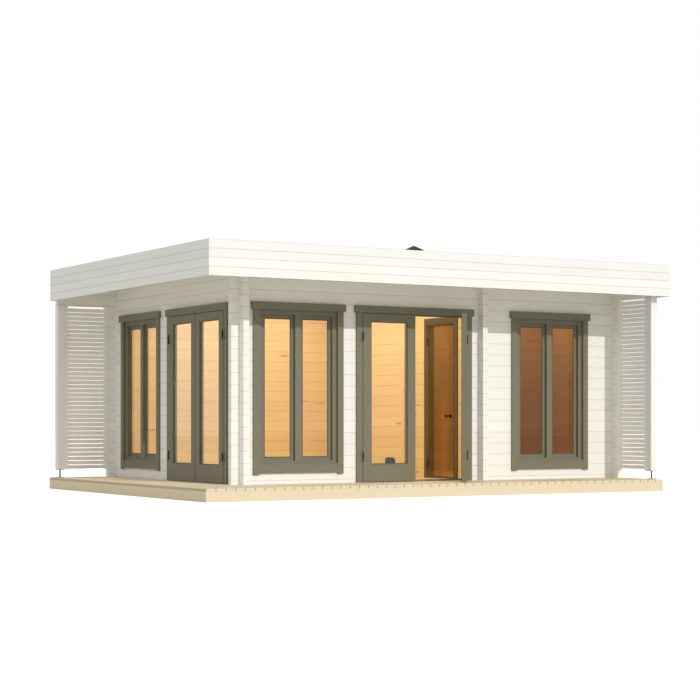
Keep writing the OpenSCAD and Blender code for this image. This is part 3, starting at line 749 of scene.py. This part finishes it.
@dataclass
class RoofTrim:
    """The folded white cap that covers the top of the fascia."""

    finishes: Finishes
    width: float = 0.055
    height: float = 0.004

    def build(self) -> None:
        """Models the four lengths of the cap."""
        low = CORNER.at(-0.806, -0.900, 2.583)
        high = CORNER.at(5.370, 3.636, 2.583)
        spans = [
            (low.x, low.y, high.x, low.y + self.width),
            (low.x, high.y - self.width, high.x, high.y),
            (low.x, low.y + self.width, low.x + self.width, high.y - self.width),
            (high.x - self.width, low.y + self.width, high.x, high.y - self.width),
        ]
        lengths = [
            block("cap", Vector((x0, y0, low.z)), Vector((x1, y1, low.z + self.height)), 0.001)
            for x0, y0, x1, y1 in spans
        ]
        cap = joined("roof_edge_cap", lengths)
        wear_finish(cap, self.finishes.metal("white_edge_metal", shade(238, 236, 230), 0.0, 0.42))
        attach(cap, "cabin")


@dataclass
class GlazingBeads:
    """Thin beads that hold the panes in the leaves and the sashes."""

    finishes: Finishes
    width: float = 0.011
    depth: float = 0.010
    material: bpy.types.Material | None = None

    def ring(self, name: str, low: Vector, high: Vector) -> bpy.types.Object:
        """Four beads round an upright rectangle in the XZ plane.

        Args:
            name: The ring's name.
            low: Its lowest corner.
            high: Its highest corner.

        Returns:
            The joined ring.
        """
        w = self.width
        parts = [
            block("bead", Vector((low.x, low.y, low.z)), Vector((low.x + w, high.y, high.z)), 0.002),
            block("bead", Vector((high.x - w, low.y, low.z)), Vector((high.x, high.y, high.z)), 0.002),
            block("bead", Vector((low.x + w, low.y, low.z)), Vector((high.x - w, high.y, low.z + w)), 0.002),
            block("bead", Vector((low.x + w, low.y, high.z - w)), Vector((high.x - w, high.y, high.z)), 0.002),
        ]
        return joined(name, parts)

    def finish(self, piece: bpy.types.Object, body: str) -> None:
        """Paints a ring and hangs it on its body."""
        if self.material is None:
            self.material = self.finishes.painted("olive_beads", Paint(shade(96, 93, 76), rough=0.5), Run.UPRIGHT)
        wear_finish(piece, self.material)
        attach(piece, body)


@dataclass
class DoubleDoor:
    """A pair of glazed leaves in their frame."""

    finishes: Finishes
    beads: GlazingBeads
    frame_node: str
    leaves: dict[Side, tuple[str, str]]
    middle: Vector
    turn: float = 0.0
    open_at: dict[Side, float] = field(default_factory=dict)
    reach: float = 0.7165
    proud: float = 0.043
    stile: float = 0.106
    leaf_width: float = 0.708
    bottom: float = 0.206
    top: float = 1.842

    def axis(self, side: Side) -> Vector:
        """The place of a leaf's hinge."""
        local = Vector((side.value * self.reach, -self.proud, 0.0))
        return self.middle + Matrix.Rotation(self.turn, 3, "Z") @ local

    def build(self) -> None:
        """Paints the frame and the leaves and adds the beads."""
        axes = tuple(self.axis(side) for side in Side)
        paint = self.finishes.painted(f"olive_{self.frame_node}", OLIVE, Run.UPRIGHT, barrels=axes)
        wear_finish(frame_nodes()[self.frame_node], paint)
        for side, (leaf, body) in self.leaves.items():
            wear_finish(frame_nodes()[leaf], paint)
            self._beads(side, body)

    def _beads(self, side: Side, body: str) -> None:
        """Adds the beads before one leaf's pane, turned as the leaf stands."""
        x0 = 0.0025 + self.stile
        x1 = 0.0025 + self.leaf_width - self.stile
        if side is Side.RIGHT:
            x0, x1 = -x1, -x0
        ring = self.beads.ring(f"{body}_beads", Vector((x0, 0.0140, self.bottom + CORNER.z)),
                               Vector((x1, 0.0140 + self.beads.depth * 0.8, self.top + CORNER.z)))
        swing = Matrix.Rotation(self.open_at.get(side, 0.0), 4, "Z")
        ring.data.transform(Matrix.Translation(self.axis(side)) @ Matrix.Rotation(self.turn, 4, "Z") @ swing)
        self.beads.finish(ring, body)


@dataclass
class Windows:
    """The three tall windows: their frames, beads and panes."""

    finishes: Finishes
    beads: GlazingBeads
    lights: tuple[float, float] = (-0.409, 0.072)
    light_width: float = 0.337
    pane_low: float = 0.295
    pane_high: float = 1.848
    setback: float = 0.044

    def build(self) -> None:
        """Paints the windows, adds their beads and sets the panes' glass."""
        paint = self.finishes.painted("olive_windows", OLIVE, Run.UPRIGHT)
        spots = {
            "front_window": (CORNER.at(0.738, 0.0, 0.0), 0.0),
            "right_window": (CORNER.at(4.230, 0.0, 0.0), 0.0),
            "side_window": (CORNER.at(0.0, 2.668, 0.0), -math.pi / 2),
        }
        for name, (place, turn) in spots.items():
            wear_finish(frame_nodes()[name], paint)
            for number, left in enumerate(self.lights):
                ring = self.beads.ring(f"{name}_beads_{number + 1}",
                                       Vector((left, self.setback + 0.0005, self.pane_low)),
                                       Vector((left + self.light_width, self.setback + 0.0075, self.pane_high)))
                ring.data.transform(Matrix.Translation(place) @ Matrix.Rotation(turn, 4, "Z"))
                self.beads.finish(ring, "cabin")
        wear_finish(frame_nodes()["window_glass"], self.finishes.glass("window_panes", CLEAR, BRONZE, CORNER.x + 3.2))


@dataclass
class Cabin:
    """The log walls, floor, roof, screens and chimney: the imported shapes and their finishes."""

    finishes: Finishes

    def build(self) -> None:
        """Dresses every fixed shape of the cabin."""
        make = self.finishes
        nodes = frame_nodes()
        x_logs = make.log_wall("logs_along_x", Courses(2, CORNER.z + 0.042, 0.132, 0.0045, 0.25))
        y_logs = make.log_wall("logs_along_y", Courses(2, CORNER.z + 0.106, 0.132, 0.0045, 0.25))
        white_boards = make.painted("white_fascia", WHITE, Run.LEVEL, Courses(2, CORNER.z + 2.207, 0.094, 0.0035, 0.15))
        white_posts = make.painted("white_posts", WHITE, Run.UPRIGHT)
        white_slats = make.painted("white_slats", Paint(shade(253, 252, 249), dirt=0.0, grain=0.02), Run.LEVEL)
        iron = make.metal("black_iron", shade(26, 26, 24), 0.0, 0.5)
        finish_of = {
            x_logs: ["front_wall_left", "front_wall_right", "rear_wall", "cross_wall", "over_door_logs", "roof_beams"],
            y_logs: ["side_wall_front", "side_wall_rear", "right_wall", "partition"],
            white_boards: ["fascia_front", "fascia_left", "fascia_rear", "fascia_right"],
            white_posts: ["posts"],
            white_slats: ["rear_screen", "right_screen"],
            make.soffit("ceiling_boards"): ["ceiling"],
            make.bare("floor_boards", SPRUCE, Run.LEVEL, Courses(1, CORNER.y, 0.096, 0.003, 0.6)): ["floor"],
            make.bare("larch_rim", LARCH, Run.LEVEL): ["frame_along_x", "frame_along_y"],
            make.bare("roof_timber", SPRUCE, Run.DEEP): ["roof_joists"],
            make.felt("roofing_felt"): ["roof_boards"],
            make.metal("galvanised_steel", shade(120, 121, 120), 0.7, 0.45): ["post_feet"],
            iron: ["firing_door", "chimney_pipe", "chimney_cap"],
        }
        for material, names in finish_of.items():
            for name in names:
                wear_finish(nodes[name], material)


@dataclass
class SaunaDoor:
    """The bronze glass door in the partition, with its frame, hinges and knobs."""

    finishes: Finishes

    def build(self) -> None:
        """Dresses the door's shapes."""
        nodes = frame_nodes()
        make = self.finishes
        hinge = CORNER.at(3.159, 1.090, 0.0)
        # The frame's colour is the olive paint with painted shade.
        wear_finish(nodes["sauna_door_frame"], make.painted("umber_frame", OLIVE_IN_SHADE, Run.UPRIGHT, barrels=(hinge,)))
        wear_finish(nodes["sauna_door_glass"], make.glass("sauna_pane", BRONZE))
        wear_finish(nodes["sauna_door_fittings"], make.painted("dark_knobs", Paint(shade(74, 44, 24), rough=0.35, grain=0.3),
                                                              Run.DEEP, barrels=(hinge,)))


@dataclass
class Leaves:
    """The clear panes of the four leaves."""

    finishes: Finishes

    def build(self) -> None:
        """Sets the panes' glass."""
        glass = self.finishes.glass("leaf_panes", CLEAR)
        for name in ("front_leaf_left_glass", "front_leaf_right_glass", "side_leaf_far_glass", "side_leaf_near_glass"):
            wear_finish(frame_nodes()[name], glass)


@dataclass
class StoveDoor:
    """The latch and the hearth's air slide on the firing door."""

    finishes: Finishes

    def build(self) -> None:
        """Adds a latch and an air slide to the firing door."""
        low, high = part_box("firing_door")
        mid = (low + high) / 2
        latch = joined("firing_door_latch", [
            block("bar", Vector((low.x - 0.012, mid.y - 0.075, mid.z)), Vector((low.x, mid.y - 0.063, mid.z + 0.05)), 0.003),
            block("grip", Vector((low.x - 0.020, mid.y - 0.077, mid.z + 0.004)), Vector((low.x - 0.010, mid.y - 0.061, mid.z + 0.046)), 0.004),
        ])
        slide = block("air_slide", Vector((low.x - 0.006, mid.y - 0.035, low.z + 0.028)), Vector((low.x, mid.y + 0.035, low.z + 0.05)), 0.002)
        wear_finish(latch, self.finishes.metal("latch_steel", shade(120, 116, 110), 0.8, 0.4))
        wear_finish(slide, self.finishes.metal("copper_slide", shade(196, 142, 112), 0.6, 0.4))
        for piece in (latch, slide):
            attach(piece, "cabin")


# ---- Stage ---------------------------------------------------------------------------------


@dataclass
class Stage:
    """The camera, the lamps, the sky and the floor."""

    eye: Corner = (-11.0596, -18.7182, 0.8276)
    turn: float = -30.449
    lens: float = 90.92
    lift: float = 0.1033
    sun_travel: Corner = (-0.14, 1.0, -0.503)
    sun_strength: float = 1.55
    sky: float = 0.70

    def build(self) -> None:
        """Sets up the whole stage."""
        scene = bpy.context.scene
        scene.view_settings.view_transform = "Standard"
        self._camera(scene)
        self._sun()
        self._sky(scene)
        self._floor()
        self._room_lamps()

    def _camera(self, scene: bpy.types.Scene) -> None:
        """Adds the camera, level and shifted to frame the cabin."""
        data = bpy.data.cameras.new("main_camera")
        data.lens = self.lens
        data.sensor_width = 36.0
        data.shift_y = self.lift
        data.clip_end = 300.0
        camera = bpy.data.objects.new("main_camera", data)
        camera.location = self.eye
        camera.rotation_euler = (math.pi / 2, 0.0, math.radians(self.turn))
        scene.collection.objects.link(camera)
        scene.camera = camera

    def _sun(self) -> None:
        """Adds the sun, low and to the front right."""
        data = bpy.data.lights.new("sun", "SUN")
        data.energy = self.sun_strength
        data.angle = math.radians(0.9)
        data.color = (1.0, 0.97, 0.92)
        sun = bpy.data.objects.new("sun", data)
        sun.rotation_euler = Vector(self.sun_travel).to_track_quat("-Z", "Y").to_euler()
        bpy.context.scene.collection.objects.link(sun)

    def _sky(self, scene: bpy.types.Scene) -> None:
        """A plain pale sky that looks white."""
        world = bpy.data.worlds.new("studio")
        world.use_nodes = True
        scene.world = world
        t = Tree(world.node_tree)
        ray = t.add("ShaderNodeLightPath")
        seen = t.sum("MAXIMUM", ray.outputs["Is Camera Ray"], ray.outputs["Is Transmission Ray"])
        back = t.tree.nodes["Background"]
        t.feed(back.inputs["Color"], t.mix(seen, (0.97, 0.985, 1.0, 1.0), (1.0, 1.0, 1.0, 1.0)))
        t.feed(back.inputs["Strength"], t.spread(seen, 0.0, 1.0, self.sky, 1.0))

    def _floor(self) -> None:
        """A wide pale floor that looks white and keeps the cabin's soft shadow."""
        bpy.ops.object.select_all(action="DESELECT")
        bpy.ops.mesh.primitive_plane_add(size=160.0, location=(0.0, 0.0, -0.001))
        floor = bpy.context.object
        floor.name = floor.data.name = "stage_floor"
        settle(floor)
        material = bpy.data.materials.new("pale_floor")
        material.use_nodes = True
        t = Tree(material.node_tree)
        shader = t.tree.nodes["Principled BSDF"]
        shader.inputs["Roughness"].default_value = 0.9
        shader.inputs["Specular IOR Level"].default_value = 0.1
        ray = t.add("ShaderNodeLightPath")
        seen = ray.outputs["Is Camera Ray"]
        t.feed(shader.inputs["Base Color"], t.mix(seen, (0.72, 0.70, 0.64, 1.0), (1.0, 1.0, 1.0, 1.0)))
        t.feed(shader.inputs["Emission Color"], (1.0, 1.0, 1.0, 1.0))
        t.feed(shader.inputs["Emission Strength"], t.sum("MULTIPLY", seen, 0.42))
        wear_finish(floor, material)

    def _room_lamps(self) -> None:
        """Soft lamps under the ceilings, so that the rooms show."""
        for name, place, width, depth, power in (
            ("main_room_lamp", CORNER.at(1.6, 1.75, 2.36), 2.6, 2.9, 60.0),
            ("sauna_lamp", CORNER.at(4.2, 0.78, 2.36), 1.6, 1.1, 9.0),
            ("rear_room_lamp", CORNER.at(4.2, 2.5, 2.36), 1.4, 1.4, 8.0),
        ):
            data = bpy.data.lights.new(name, "AREA")
            data.shape = "RECTANGLE"
            data.size, data.size_y = width, depth
            data.energy = power
            data.color = (1.0, 0.98, 0.95)
            lamp = bpy.data.objects.new(name, data)
            lamp.location = place
            lamp.visible_glossy = False
            bpy.context.scene.collection.objects.link(lamp)


def frame_nodes() -> dict[str, bpy.types.Object]:
    """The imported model's shapes by name."""
    return FRAME["nodes"]


FRAME: dict = {}


def main() -> None:
    """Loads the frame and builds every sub-assembly."""
    logging.basicConfig(level=logging.INFO, format="%(name)s: %(message)s")
    FRAME.update(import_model())
    finishes = Finishes()
    beads = GlazingBeads(finishes)
    front = DoubleDoor(
        finishes, beads, "front_door_frame",
        {Side.LEFT: ("front_leaf_left", "front_left_leaf"), Side.RIGHT: ("front_leaf_right", "front_right_leaf")},
        CORNER.at(2.278, 0.0, -0.140), open_at={Side.RIGHT: math.radians(56)},
    )
    side = DoubleDoor(
        finishes, beads, "side_door_frame",
        {Side.LEFT: ("side_leaf_far", "side_far_leaf"), Side.RIGHT: ("side_leaf_near", "side_near_leaf")},
        CORNER.at(0.0, 1.053, -0.140), turn=-math.pi / 2,
    )
    builders = [Stage(), Cabin(finishes), Deck(finishes), RoofTrim(finishes), Windows(finishes, beads), front, side,
                Leaves(finishes), SaunaDoor(finishes), StoveDoor(finishes)]
    for builder in builders:
        builder.build()
        LOG.info("built %s", type(builder).__name__)


if __name__ == "__main__":
    main()
